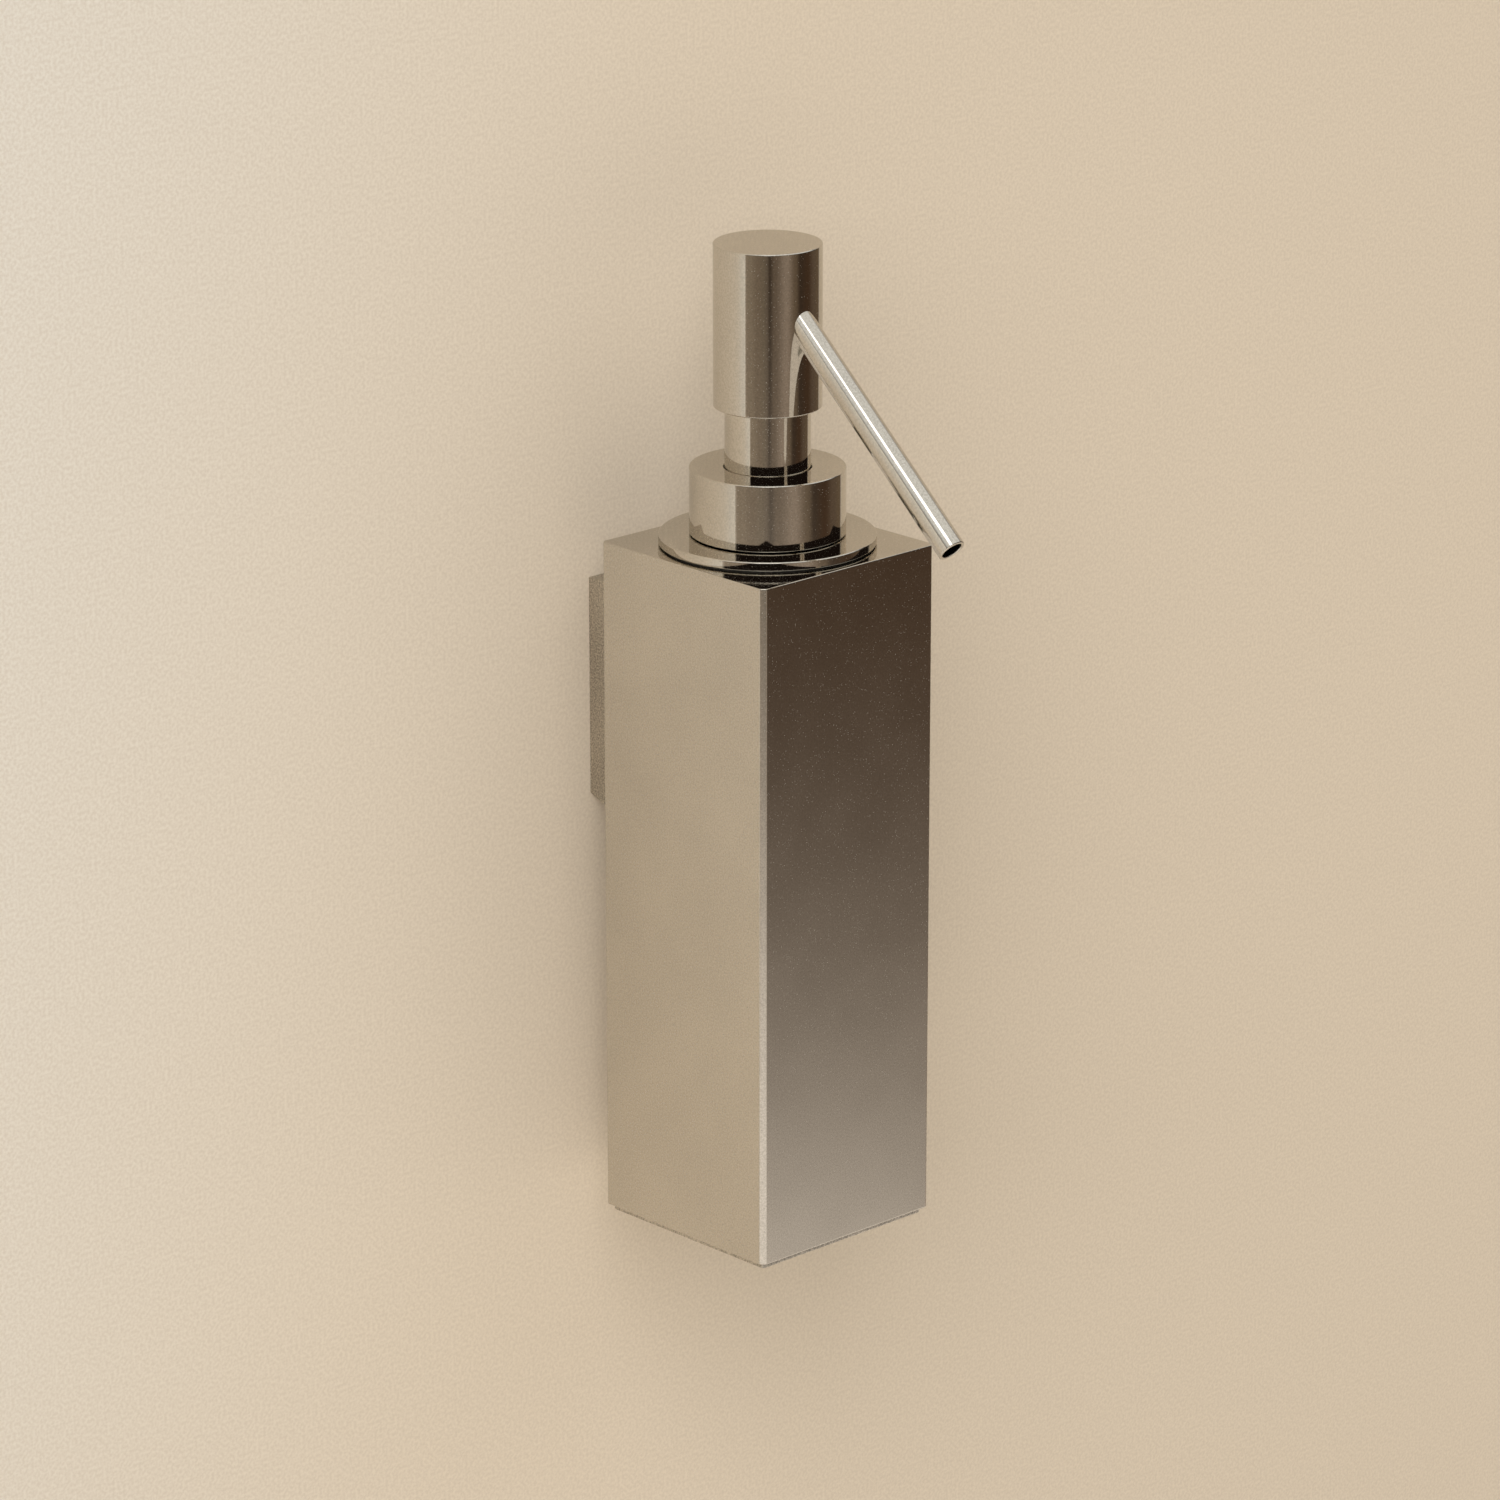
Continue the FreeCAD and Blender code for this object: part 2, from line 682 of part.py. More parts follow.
def make_stem_guide():
    flange_top = "guide_plug_height + guide_flange_thickness"
    tube_top = f"{flange_top} + guide_tube_height"
    return turned(
        "stem_guide",
        GUIDE_Z,
        [
            ("guide_bore", "0"),
            ("guide_plug_radius", "0"),
            ("guide_plug_radius", "guide_plug_height"),
            ("guide_flange_radius", "guide_plug_height"),
            ("guide_flange_radius", flange_top),
            ("guide_tube_radius", flange_top),
            ("guide_tube_radius", tube_top),
            ("guide_tube_bore", tube_top),
            ("guide_tube_bore", "guide_bearing"),
            ("guide_bore", "guide_bearing"),
        ],
    )


def make_neck_sleeve():
    edge = "edge_break"
    return turned(
        "neck_sleeve",
        SLEEVE_Z,
        [
            ("sleeve_bore", "0"),
            ("sleeve_radius", "0"),
            ("sleeve_radius", f"sleeve_height - {edge}"),
            (f"sleeve_radius - {edge}", "sleeve_height"),
            ("sleeve_bore", "sleeve_height"),
        ],
    )


def make_return_spring():
    """A round wire swept along a helix between the ball retainer and the stem plug's flange."""
    body = new_body("return_spring", AXIS_Y, SPRING_Z)
    wire = new_sketch(body, "wire", "XZ_Plane")
    add_circle(wire, "coil_radius", "wire_radius", "wire_radius")
    coil = body.newObject("PartDesign::AdditiveHelix", "return_spring_coil")
    coil.Profile = wire
    coil.ReferenceAxis = (wire, ["V_Axis"])
    coil.Mode = "height-turns-angle"
    bind(coil, "Turns", "coil_turns")
    space = f"({PLUG_Z} + plug_bottom_height) - ({SPRING_Z})"
    bind(coil, "Height", f"{space} - 2 * wire_radius")
    return body


# Plunger


def make_stem():
    """Hollow, with a shoulder above the piston and the outlet ball's chamber near its top."""
    valve_end = "valve_start + valve_height"
    shoulder_end = "shoulder_start + shoulder_height"
    return turned(
        "stem",
        STEM_Z,
        [
            ("stem_bore", "0"),
            ("stem_radius", "0"),
            ("stem_radius", "shoulder_start"),
            ("shoulder_radius", "shoulder_start"),
            ("shoulder_radius", shoulder_end),
            ("stem_radius", shoulder_end),
            ("stem_radius", "stem_length"),
            ("stem_bore", "stem_length"),
            ("stem_bore", valve_end),
            ("valve_radius", valve_end),
            ("valve_radius", "valve_start"),
            ("stem_bore", "valve_start"),
        ],
    )


def make_piston():
    upper = "piston_height - lip_height"
    return turned(
        "piston",
        f"{STEM_Z} + piston_start",
        [
            ("piston_inside", "0"),
            ("piston_radius", "0"),
            ("piston_radius", "lip_height"),
            ("piston_waist", "lip_height + lip_slope"),
            ("piston_waist", f"{upper} - lip_slope"),
            ("piston_radius", upper),
            ("piston_radius", "piston_height"),
            ("piston_inside", "piston_height"),
        ],
    )


def make_stem_plug():
    flange_top = "plug_bottom_height + plug_flange_height"
    top = f"{flange_top} + plug_spigot_height"
    return turned(
        "stem_plug",
        PLUG_Z,
        [
            ("plug_hole", "0"),
            ("plug_bottom_radius", "0"),
            ("plug_bottom_radius", "plug_bottom_height"),
            ("plug_flange_radius", "plug_bottom_height"),
            ("plug_flange_radius", flange_top),
            ("plug_spigot_radius", flange_top),
            ("plug_spigot_radius", top),
            ("plug_hole", top),
        ],
    )


# Press head and spout


def make_head_shell():
    edge = "edge_break"
    ceiling = "head_height - head_cap"
    body = turned(
        "head_shell",
        HEAD_Z,
        [
            ("head_cavity", "0"),
            (f"head_radius - {edge}", "0"),
            ("head_radius", edge),
            ("head_radius", f"head_height - {edge}"),
            (f"head_radius - {edge}", "head_height"),
            ("0", "head_height"),
            ("0", ceiling),
            ("head_cavity", ceiling),
        ],
    )
    spout_hole(body, "head_height - spout_drop", "spout_chamber")
    return body


def make_actuator_core():
    """Turns on the stem's end; its channel leads from the stem's socket to the spout's hole."""
    body = turned(
        "actuator_core",
        CORE_Z,
        [
            ("stem_socket_radius", "0"),
            ("core_radius", "0"),
            ("core_radius", "core_height"),
            ("0", "core_height"),
            ("0", "channel_top"),
            ("stem_bore", "channel_top"),
            ("stem_bore", "stem_socket_depth"),
            ("stem_socket_radius", "stem_socket_depth"),
        ],
    )
    spout_hole(body, "head_height - spout_drop - core_start", "spout_chamber")
    return body


def make_spout_tube():
    length = "spout_reach / cos(spout_slope) - spout_start"
    edge = "spout_edge"
    body = turned(
        "spout_tube",
        f"{SPOUT_Z} - spout_start * sin(spout_slope)",
        [
            ("spout_bore", "0"),
            ("spout_radius", "0"),
            ("spout_radius", f"{length} - {edge}"),
            (f"spout_radius - {edge}", length),
            (f"spout_bore + {edge}", length),
            ("spout_bore", f"{length} - {edge}"),
        ],
        y=f"{AXIS_Y} - spout_start * cos(spout_slope)",
    )
    aim_along_spout(body)
    return body


def ball_height(seat_z, ball_radius, hole_radius):
    """Height of a ball's middle when it lies on the edge of a round hole."""
    return f"{seat_z} + sqrt({ball_radius}^2 - {hole_radius}^2) + seat_gap"


subparts = [
    make_wall_plate(),
    make_mount_block(),
    make_backing_plate(),
    make_block_screws(),
    make_locking_screw(),
    make_body_shell(),
    make_base_plate(),
    make_bottle(),
    make_flange_ring(),
    ring("flange_gasket", "casing_top_z", "gasket_bore", "gasket_radius", "gasket_thickness"),
    make_collar(),
    ring("collar_liner", f"{COLLAR_Z} + liner_recess", "liner_bore", "liner_radius", "liner_height"),
    make_pump_housing(),
    ring("neck_gasket", LIP_Z, "neck_gasket_bore", "neck_gasket_radius", "neck_gasket_thickness"),
    make_stem_guide(),
    make_neck_sleeve(),
    ring("dip_tube", f"{HOUSING_Z} + dip_insert - dip_length", "dip_bore", "dip_radius", "dip_length"),
    ring("ball_retainer", RETAINER_Z, "retainer_bore", "retainer_radius", "retainer_thickness"),
    make_return_spring(),
    ball("inlet_ball", ball_height(CHAMBER_Z, "inlet_ball_radius", "seat_radius"), "inlet_ball_radius"),
    make_stem(),
    make_piston(),
    make_stem_plug(),
    ball(
        "outlet_ball",
        ball_height(f"{STEM_Z} + valve_start", "outlet_ball_radius", "stem_bore"),
        "outlet_ball_radius",
    ),
    make_head_shell(),
    make_actuator_core(),
    make_spout_tube(),
]
doc.recompute()

problems = []
for thing in doc.Objects:
    if {"Invalid", "Error"} & set(thing.State):
        problems.append(f"{thing.Label}: {thing.State}")
    elif thing.TypeId in ("PartDesign::Pocket", "PartDesign::SubtractiveCylinder"):
        if thing.BaseFeature.Shape.Volume - thing.Shape.Volume < LEAST_CUT:
            problems.append(f"{thing.Label}: cuts nothing")
for subpart in subparts:
    if subpart.Shape.isNull() or not subpart.Shape.isValid():
        problems.append(f"{subpart.Label}: no valid shape")
if problems:
    raise SystemExit("\n".join(problems))

os.makedirs("parts", exist_ok=True)
for subpart in subparts:
    subpart.Shape.exportStep(f"parts/{subpart.Label}.step")
    box = subpart.Shape.optimalBoundingBox()
    print(
        f"{subpart.Label:15s} {len(subpart.Shape.Solids)} solids {subpart.Shape.Volume:9.1f} mm3"
        f"  z {box.ZMin:8.2f} to {box.ZMax:7.2f}"
    )
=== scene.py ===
import math

import bmesh
import bpy
from mathutils import Euler, Matrix, Vector


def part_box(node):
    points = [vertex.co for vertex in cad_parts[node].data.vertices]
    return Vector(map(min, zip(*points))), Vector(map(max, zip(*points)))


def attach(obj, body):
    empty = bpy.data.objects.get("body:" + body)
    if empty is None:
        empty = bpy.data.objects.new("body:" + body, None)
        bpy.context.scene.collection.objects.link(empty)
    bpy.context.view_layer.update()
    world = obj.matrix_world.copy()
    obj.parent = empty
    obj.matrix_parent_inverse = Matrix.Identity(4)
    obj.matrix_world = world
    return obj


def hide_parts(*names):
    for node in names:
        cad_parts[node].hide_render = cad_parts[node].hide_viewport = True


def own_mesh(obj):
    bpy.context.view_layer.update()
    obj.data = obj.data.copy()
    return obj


# Looks of the wall mounted soap dispenser. Metres; the wall is the plane y = 0, the front looks along -Y.

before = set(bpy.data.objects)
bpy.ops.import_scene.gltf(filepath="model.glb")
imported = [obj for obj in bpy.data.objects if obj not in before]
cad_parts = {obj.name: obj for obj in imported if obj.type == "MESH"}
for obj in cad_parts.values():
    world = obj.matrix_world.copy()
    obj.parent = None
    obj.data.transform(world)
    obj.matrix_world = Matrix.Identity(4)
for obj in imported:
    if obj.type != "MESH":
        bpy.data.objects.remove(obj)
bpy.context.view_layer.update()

MM = 0.001
UP = Vector((0, 0, 1))
ACROSS = Vector((1, 0, 0))  # every turned node's outline starts on this side of its axis
NEAR = 0.002 * MM

casing_low, casing_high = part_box("body_shell")
PUMP_AXIS = Vector(((casing_low.x + casing_high.x) / 2, (casing_low.y + casing_high.y) / 2, 0))

SPOUT_SLOPE = math.radians(41.7)  # below level
SPOUT_DIRECTION = Vector((0, -math.cos(SPOUT_SLOPE), -math.sin(SPOUT_SLOPE)))
SPOUT_DROP = 6.5 * MM  # from the head's top to where the spout's axis meets the pump's
SPOUT_ROOT = Vector((PUMP_AXIS.x, PUMP_AXIS.y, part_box("head_shell")[1].z - SPOUT_DROP))

TURNED_SEGMENTS = 160
ARC_STEPS = 5
LEAST_TURN = math.radians(25)  # a gentler corner is part of a curve already
MOST_OF_EDGE = 0.42  # share of an edge that one of its corners may take

SHARP_EDGE = 0.16 * MM
SOFT_EDGE = 0.35 * MM


# Outlines and turned pieces


def outline_of(node, foot=PUMP_AXIS, up=UP):
    """The outline of a turned CAD node in radius and height, read where its surface starts and ends."""
    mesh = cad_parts[node].data
    places = {}
    for vertex in mesh.vertices:
        offset = vertex.co - foot
        height = offset.dot(up)
        sideways = offset - height * up
        radius = sideways.dot(ACROSS)
        if radius > -NEAR and (sideways - radius * ACROSS).length < NEAR:
            places[vertex.index] = (round(radius, 6), round(height, 6))
    links = {}
    for edge in mesh.edges:
        a, b = (places.get(index) for index in edge.vertices)
        if a and b and a != b:
            links.setdefault(a, set()).add(b)
            links.setdefault(b, set()).add(a)
    ends = sorted(place for place, others in links.items() if len(others) == 1)
    here = ends[0] if ends else min(links)
    chain = [here]
    while True:
        onward = sorted(place for place in links[here] if place not in chain)
        if not onward:
            break
        here = onward[0]
        chain.append(here)
    if ends:
        chain = [(0.0, chain[0][1])] + chain + [(0.0, chain[-1][1])]
    return [Vector(place) for place in chain]


def with_arcs(outline, radius):
    """The closed outline with a small arc in place of each sharp corner off the axis."""
    smooth = []
    for k, corner in enumerate(outline):
        into = corner - outline[k - 1]
        onward = outline[(k + 1) % len(outline)] - corner
        turn = abs(into.angle(onward, 0))
        if corner.x < NEAR or turn < LEAST_TURN:
            smooth.append(corner)
            continue
        room = MOST_OF_EDGE * min(into.length, onward.length)
        reach = min(radius * math.tan(turn / 2), room)
        start = corner - into.normalized() * reach
        end = corner + onward.normalized() * reach
        for step in range(ARC_STEPS + 1):
            t = step / ARC_STEPS
            smooth.append(start.lerp(corner, t).lerp(corner.lerp(end, t), t))
    return smooth


def new_object(name, work):
    """Turns the finished bmesh into a smooth-shaded object of the scene."""
    bmesh.ops.recalc_face_normals(work, faces=work.faces)
    mesh = bpy.data.meshes.new(name)
    work.to_mesh(mesh)
    work.free()
    mesh.shade_smooth()
    piece = bpy.data.objects.new(name, mesh)
    bpy.context.scene.collection.objects.link(piece)
    return piece


def even_shading(piece):
    """Keeps flat faces flat to the eye beside their rounded edges."""
    weighted = piece.modifiers.new("even_shading", "WEIGHTED_NORMAL")
    weighted.weight = 60
    weighted.keep_sharp = False


def skin(work, loops, closed):
    """Faces between one loop of vertices and the next; a loop of one vertex is a point on the axis."""
    pairs = list(zip(loops, loops[1:] + loops[:1])) if closed else list(zip(loops, loops[1:]))
    for a, b in pairs:
        count = max(len(a), len(b))
        for k in range(count):
            after = (k + 1) % count
            if len(a) == 1 and len(b) == 1:
                break
            if len(a) == 1:
                work.faces.new((a[0], b[after], b[k]))
            elif len(b) == 1:
                work.faces.new((a[k], a[after], b[0]))
            else:
                work.faces.new((a[k], a[after], b[after], b[k]))


def turned(name, outline, foot=PUMP_AXIS, up=UP, swell=None, segments=TURNED_SEGMENTS):
    """The outline revolved about its axis. swell(radius, height, angle) may add to the radius."""
    third = up.cross(ACROSS)
    work = bmesh.new()
    loops = []
    for radius, height in outline:
        if radius < NEAR:
            loops.append([work.verts.new(foot + up * height)])
            continue
        loop = []
        for k in range(segments):
            angle = 2 * math.pi * k / segments
            wide = radius + (swell(radius, height, angle) if swell else 0)
            way = ACROSS * math.cos(angle) + third * math.sin(angle)
            loop.append(work.verts.new(foot + up * height + way * wide))
        loops.append(loop)
    skin(work, loops, closed=True)
    piece = new_object(name, work)
    even_shading(piece)
    return piece


def settle(piece, body, slot, material, *nodes):
    """Puts a finished piece on its body, in place of its CAD nodes."""
    piece.data.materials.clear()
    piece.data.materials.append(material)
    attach(piece, body)
    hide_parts(*nodes)
    return piece


# Node building for materials


class Nodes:
    """A short way to write a node tree: add a node, set its values, link its inputs."""

    def __init__(self, tree):
        self.tree = tree
        tree.nodes.clear()

    def add(self, kind, inputs=(), **settings):
        node = self.tree.nodes.new(kind)
        for key, value in settings.items():
            setattr(node, key, value)
        for key, value in dict(inputs).items():
            if isinstance(value, bpy.types.NodeSocket):
                self.tree.links.new(value, node.inputs[key])
            else:
                node.inputs[key].default_value = value
        return node

    def math(self, operation, a, b=0.0, c=0.0):
        return self.add("ShaderNodeMath", {0: a, 1: b, 2: c}, operation=operation).outputs[0]

    def dot(self, a, b):
        return self.add("ShaderNodeVectorMath", {0: a, 1: b}, operation="DOT_PRODUCT").outputs["Value"]

    def spread(self, value, low, high, to_low=0.0, to_high=1.0, smooth=True):
        """The value's place between low and high, as a number from to_low to to_high."""
        inputs = {"Value": value, "From Min": low, "From Max": high, "To Min": to_low, "To Max": to_high}
        kind = "SMOOTHSTEP" if smooth else "LINEAR"
        return self.add("ShaderNodeMapRange", inputs, interpolation_type=kind).outputs["Result"]

    def ramp(self, value, stops):
        node = self.add("ShaderNodeValToRGB", {"Fac": value})
        node.color_ramp.interpolation = "EASE"
        elements = node.color_ramp.elements
        for k, (place, colour) in enumerate(stops):
            element = elements[k] if k < len(elements) else elements.new(place)
            element.position = place
            element.color = (*colour, 1)
        return node.outputs["Color"]

    def mix(self, share, a, b):
        node = self.add("ShaderNodeMix", data_type="RGBA", blend_type="MIX")
        for socket, value in (("Factor_Float", share), ("A_Color", a), ("B_Color", b)):
            target = next(s for s in node.inputs if s.identifier == socket)
            if isinstance(value, bpy.types.NodeSocket):
                self.tree.links.new(value, target)
            elif socket == "Factor_Float":
                target.default_value = value
            else:
                target.default_value = (*value, 1)
        return next(s for s in node.outputs if s.identifier == "Result_Color")

    def noise(self, where, scale, detail=2.0, rough=0.5):
        inputs = {"Vector": where, "Scale": scale, "Detail": detail, "Roughness": rough}
        return self.add("ShaderNodeTexNoise", inputs).outputs["Fac"]

    def place(self):
        return self.add("ShaderNodeTexCoord").outputs["Object"]

    def bump(self, height, strength, distance):
        inputs = {"Height": height, "Strength": strength, "Distance": distance}
        return self.add("ShaderNodeBump", inputs).outputs["Normal"]

    def surface(self, inputs):
        shader = self.add("ShaderNodeBsdfPrincipled", inputs)
        output = self.add("ShaderNodeOutputMaterial")
        self.tree.links.new(shader.outputs["BSDF"], output.inputs["Surface"])


def new_material(name):
    material = bpy.data.materials.new(name)
    material.use_nodes = True
    return material, Nodes(material.node_tree)


# Finishes. A noise's scale is its number of waves in a metre.

NOISE_LOW, NOISE_HIGH = 0.3, 0.7  # nearly all of a noise lies between these
EDGE_TINT = (0.87, 0.86, 0.84)  # how much of the grazing reflection the plating keeps
GRAIN_DEPTH = 0.02 * MM
DRIFT_SCALE = 60.0
MOTTLE_SCALE = 2600.0
MOTTLE_SHARE, DRIFT_SHARE = 0.8, 0.2  # of the plating's uneven colour

FLECKS_PER_METRE = 2600.0
FLECK_NONE, FLECK_STRONG = 0.55, 1.0  # a cell's own random number, from no fleck to a full one
FLECK_EDGE, FLECK_CORE = 0.34, 0.18  # distance from the cell's point, in cells


def scaled(colour, factor):
    return tuple(c * factor for c in colour)


def nickel(name, colour, roughness, grain, flecks, mottling=0.11, grain_scale=9000.0):
    """Warm plated metal: slow drift in gloss, fine grain in surface and colour, sparse bright flecks."""
    material, n = new_material(name)
    where = n.place()
    drift = n.noise(where, DRIFT_SCALE, 3.0)
    fine = n.noise(where, grain_scale, 2.0, 0.6)
    cells = n.add("ShaderNodeTexVoronoi", {"Vector": where, "Scale": FLECKS_PER_METRE}).outputs
    number = n.add("ShaderNodeSeparateColor", {"Color": cells["Color"]}).outputs["Red"]
    chosen = n.spread(number, FLECK_NONE, FLECK_STRONG)
    spot = n.math("MULTIPLY", chosen, n.spread(cells["Distance"], FLECK_EDGE, FLECK_CORE))
    unevenness = n.math("MULTIPLY_ADD", fine, 0.5, drift)
    gloss = n.spread(unevenness, 0.4, 1.0, roughness * 0.85, roughness * 1.15)
    gloss = n.math("MULTIPLY_ADD", spot, flecks, gloss)
    cloud = n.noise(where, MOTTLE_SCALE, 2.0)
    mottle = n.math("MULTIPLY_ADD", cloud, MOTTLE_SHARE, n.math("MULTIPLY", drift, DRIFT_SHARE))
    dark, bright = scaled(colour, 1 - mottling), scaled(colour, 1 + mottling)
    n.surface({
        "Base Color": n.mix(n.spread(mottle, NOISE_LOW, NOISE_HIGH), dark, bright),
        "Metallic": 1.0,
        "Roughness": gloss,
        "Specular Tint": (*EDGE_TINT, 1),
        "Normal": n.bump(fine, grain, GRAIN_DEPTH),
    })
    return material


def steel(name, colour, roughness):
    """Plain steel with fine streaks in its gloss and slow blotches in its colour."""
    material, n = new_material(name)
    where = n.place()
    streaks = n.noise(where, 2500.0, 2.0)
    blotch = n.noise(where, 180.0, 3.0)
    n.surface({
        "Base Color": n.mix(blotch, scaled(colour, 0.85), colour),
        "Metallic": 1.0,
        "Roughness": n.spread(streaks, NOISE_LOW, NOISE_HIGH, roughness * 0.7, roughness * 1.3),
        "Normal": n.bump(streaks, 0.15, GRAIN_DEPTH),
    })
    return material


def plastic(name, colour, roughness, see_through=0.0, peel_strength=0.12):
    """Moulded plastic with the faint orange peel of its mould."""
    material, n = new_material(name)
    where = n.place()
    peel = n.noise(where, 900.0, 3.0)
    cloud = n.noise(where, 70.0, 2.0)
    n.surface({
        "Base Color": n.mix(cloud, scaled(colour, 0.92), colour),
        "Roughness": n.spread(peel, NOISE_LOW, NOISE_HIGH, roughness * 0.8, roughness * 1.2),
        "Subsurface Weight": 0.25,
        "Subsurface Radius": (1.0 * MM, 0.8 * MM, 0.6 * MM),
        "Subsurface Scale": 1.0,
        "Transmission Weight": see_through,
        "IOR": 1.5,
        "Normal": n.bump(peel, peel_strength, 0.04 * MM),
    })
    return material


def rubber(name, colour):
    """Dark rubber with a little pale dust."""
    material, n = new_material(name)
    dust = n.noise(n.place(), 1500.0, 4.0)
    dusty = tuple(c * 1.8 + 0.01 for c in colour)
    n.surface({
        "Base Color": n.mix(n.spread(dust, 0.45, 0.8), colour, dusty),
        "Roughness": n.spread(dust, NOISE_LOW, NOISE_HIGH, 0.55, 0.8),
        "Normal": n.bump(dust, 0.3, 0.03 * MM),
    })
    return material


NICKEL = (0.635, 0.605, 0.552)
DULL_NICKEL = (0.52, 0.487, 0.435)
polished = nickel("polished_nickel", NICKEL, roughness=0.045, grain=0.05, flecks=0.30)
casing_nickel = nickel("casing_nickel", NICKEL, roughness=0.09, grain=0.05, flecks=0.25)
brushed = nickel(
    "brushed_nickel", DULL_NICKEL, roughness=0.34, grain=0.8, flecks=0.30, mottling=0.4, grain_scale=5000.0
)
bracket_steel = steel("bracket_steel", (0.52, 0.51, 0.50), roughness=0.35)
fastener_steel = steel("fastener_steel", (0.60, 0.59, 0.57), roughness=0.2)
bottle_plastic = plastic("bottle_plastic", (0.70, 0.69, 0.65), roughness=0.35)
pump_plastic = plastic("pump_plastic", (0.68, 0.68, 0.66), roughness=0.3)
piston_plastic = plastic("piston_plastic", (0.60, 0.61, 0.61), roughness=0.35)
tube_plastic = plastic(
    "tube_plastic", (0.78, 0.78, 0.75), roughness=0.25, see_through=0.3, peel_strength=0.03
)
seal_rubber = rubber("seal_rubber", (0.05, 0.047, 0.043))


# Casing, with a closed back wall: the CAD's two screw holes there are left out

FLAT_STEPS = 14  # along each side of a square loop
CORNER_STEPS = 3  # in each rounded end of a bevel
CASING_BEVEL = 1.0 * MM  # the CAD's is 1.3 mm
CASING_WALL = 1.2 * MM
CASING_ROOF = 1.5 * MM
MOUTH_RADIUS = 21.3 * MM
BEVEL_ROUND = 0.22 * MM
RIM_ROUND = 0.25 * MM
INNER_ROUND = 0.1 * MM
BEVEL_LOSS = 2 - math.sqrt(2)  # how much a bevel narrows per unit that its loop moves inwards


def loop_at(work, half, chamfer, height, corner_round):
    """A square loop about the pump's axis with bevelled corners, each bevel's ends slightly rounded."""
    points = []
    side = half - chamfer
    ends = [Vector((half, -side)), Vector((half, side)), Vector((side, half))]
    for quarter in range(4):
        turn = Matrix.Rotation(quarter * math.pi / 2, 2)
        first, second, third = (turn @ end for end in ends)
        after = turn @ Vector((-side, half))
        along = (second - first).normalized()
        across = (third - second).normalized()
        onward = (after - third).normalized()
        flat_start = first + along * corner_round
        flat_end = second - along * corner_round
        points += [flat_start.lerp(flat_end, k / FLAT_STEPS) for k in range(FLAT_STEPS)]
        for corner, into, out in ((second, along, across), (third, across, onward)):
            start = corner - into * corner_round
            end = corner + out * corner_round
            for k in range(CORNER_STEPS + 1):
                t = k / CORNER_STEPS
                points.append(start.lerp(corner, t).lerp(corner.lerp(end, t), t))
        points.pop()
    return [work.verts.new(PUMP_AXIS + Vector((p.x, p.y, height))) for p in points]


def round_loop_at(work, square_loop, radius, height):
    """A circle with one point straight inwards from each point of a square loop."""
    loop = []
    for vertex in square_loop:
        way = (vertex.co - PUMP_AXIS).xy.normalized() * radius
        loop.append(work.verts.new(PUMP_AXIS + Vector((way.x, way.y, height))))
    return loop


def make_casing():
    """Outer walls from foot to rim, over the lip into the mouth, and down the inner walls."""
    half = (casing_high.x - casing_low.x) / 2
    work = bmesh.new()

    def ring(inset, height):
        return loop_at(work, half - inset, CASING_BEVEL - inset * BEVEL_LOSS, height, BEVEL_ROUND)

    loops = [ring(RIM_ROUND, casing_low.z)]
    rim = [math.pi / 2 * k / ARC_STEPS for k in range(ARC_STEPS + 1)]
    for angle in rim[1:]:
        inset = RIM_ROUND * (1 - math.sin(angle))
        loops.append(ring(inset, casing_low.z + RIM_ROUND * (1 - math.cos(angle))))
    for angle in rim:
        inset = RIM_ROUND * (1 - math.cos(angle))
        loops.append(ring(inset, casing_high.z - RIM_ROUND * (1 - math.sin(angle))))
    square = loops[-1]
    ceiling = casing_high.z - CASING_ROOF
    for radius, height in (
        (MOUTH_RADIUS + SHARP_EDGE, casing_high.z),
        (MOUTH_RADIUS, casing_high.z - SHARP_EDGE),
        (MOUTH_RADIUS, ceiling),
    ):
        loops.append(round_loop_at(work, square, radius, height))
    for height in (ceiling, casing_low.z):
        loops.append(loop_at(work, half - CASING_WALL, BEVEL_ROUND, height, INNER_ROUND))
    skin(work, loops, closed=True)
    piece = new_object("casing", work)
    even_shading(piece)
    return piece


settle(make_casing(), "wall_body", "polished_nickel", casing_nickel, "body_shell")


# Turned pieces

for name, node, body, slot, material, edge in (
    ("collar_polished", "collar", "collar_ring", "polished_nickel", polished, SHARP_EDGE),
    ("flange_polished", "flange_ring", "bottle_insert", "polished_nickel", polished, SHARP_EDGE),
    ("neck_polished", "neck_sleeve", "pump_unit", "polished_nickel", polished, SHARP_EDGE),
    ("head_polished", "head_shell", "head", "polished_nickel", polished, SHARP_EDGE),
    ("collar_thread_liner", "collar_liner", "collar_ring", "pump_plastic", pump_plastic, SOFT_EDGE),
    ("flange_seal", "flange_gasket", "bottle_insert", "seal_rubber", seal_rubber, SHARP_EDGE),
    ("neck_seal", "neck_gasket", "pump_unit", "seal_rubber", seal_rubber, SHARP_EDGE),
    ("pump_barrel", "pump_housing", "pump_unit", "pump_plastic", pump_plastic, SOFT_EDGE),
    ("guide_bush", "stem_guide", "pump_unit", "pump_plastic", pump_plastic, SOFT_EDGE),
    ("suction_tube", "dip_tube", "pump_unit", "tube_plastic", tube_plastic, SHARP_EDGE),
    ("spring_washer", "ball_retainer", "pump_unit", "pump_plastic", pump_plastic, SHARP_EDGE),
    ("pump_stem", "stem", "plunger", "pump_plastic", pump_plastic, SOFT_EDGE),
    ("pump_piston", "piston", "plunger", "piston_plastic", piston_plastic, SHARP_EDGE),
    ("stem_foot_plug", "stem_plug", "plunger", "piston_plastic", piston_plastic, SHARP_EDGE),
):
    shape = with_arcs(outline_of(node), edge)
    settle(turned(name, shape), body, slot, material, node)

